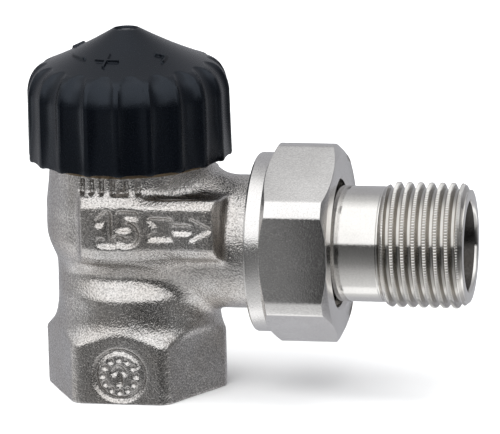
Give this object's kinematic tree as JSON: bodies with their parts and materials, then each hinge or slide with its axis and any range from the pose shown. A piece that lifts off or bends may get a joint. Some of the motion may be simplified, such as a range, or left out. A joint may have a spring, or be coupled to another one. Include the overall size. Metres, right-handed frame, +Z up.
{
  "type": "thermostatic radiator valve",
  "caption": "Angle radiator valve body with a fluted screw cap over its sprung spindle, a hexagon inlet socket and a union nut holding a threaded tailpiece.",
  "frame": {"origin": "centre of the inlet socket's end face", "axes": "+Z up the spindle axis, +X along the outlet towards the radiator, -Y is the side with the flow arrow that the picture shows"},
  "size_m": [0.074, 0.034, 0.0609],
  "materials": {
    "nickel_cast": "rough nickel-plated casting",
    "cap_plastic": "matte blue-black moulding",
    "brass": "turned brass",
    "seal_rubber": "black rubber",
    "insert_plastic": "dark grey moulding",
    "dial_plastic": "pale moulding",
    "stainless": "turned stainless steel",
    "nickel_machined": "machined nickel plate"
  },
  "bodies": {
    "body": {"valve_body": "nickel_cast", "insert_housing": "brass", "housing_oring": "seal_rubber", "port_cage": "insert_plastic"},
    "preset": {"throttle_sleeve": "insert_plastic", "throttle_oring": "seal_rubber", "preset_dial": "dial_plastic", "dial_snap_ring": "stainless", "gland_nut": "brass", "gland_outer_oring": "seal_rubber", "gland_inner_oring": "seal_rubber"},
    "spindle": {"actuating_pin": "stainless", "spindle": "stainless", "spindle_circlip": "stainless", "spring_seat": "brass", "return_spring": "stainless", "disc_holder": "brass", "disc_seal": "seal_rubber", "disc_nut": "brass"},
    "press_disc": {"cap_press_disc": "brass"},
    "cap": {"protective_cap": "cap_plastic"},
    "tail": {"tailpiece": "nickel_machined"},
    "nut": {"union_nut": "nickel_machined"}
  },
  "joints": [
    {"name": "spindle_travel", "type": "slide", "parent": "body", "child": "spindle", "axis": [0, 0, 1], "range_m": [0, 0.003], "deforming": ["return_spring"]},
    {"name": "cap_lift", "type": "slide", "parent": "spindle", "child": "press_disc", "axis": [0, 0, 1], "range_m": [0, 0.025]},
    {"name": "cap_turn", "type": "hinge", "parent": "press_disc", "child": "cap", "pos_m": [0, 0, 0.05], "axis": [0, 0, 1], "range_deg": [0, 720]},
    {"name": "preset_turn", "type": "hinge", "parent": "body", "child": "preset", "pos_m": [0, 0, 0.05], "axis": [0, 0, 1], "range_deg": [0, 280]},
    {"name": "union_travel", "type": "slide", "parent": "body", "child": "tail", "axis": [1, 0, 0], "range_m": [0, 0.00907]},
    {"name": "nut_turn", "type": "hinge", "parent": "tail", "child": "nut", "pos_m": [0.03, 0, 0.025], "axis": [1, 0, 0], "range_deg": [0, 1800]}
  ],
  "couplings": [
    {"joint": "spindle_travel", "follows": "cap_turn", "m_per_rad": 0.00023873},
    {"joint": "union_travel", "follows": "nut_turn", "m_per_rad": 0.00028875}
  ]
}
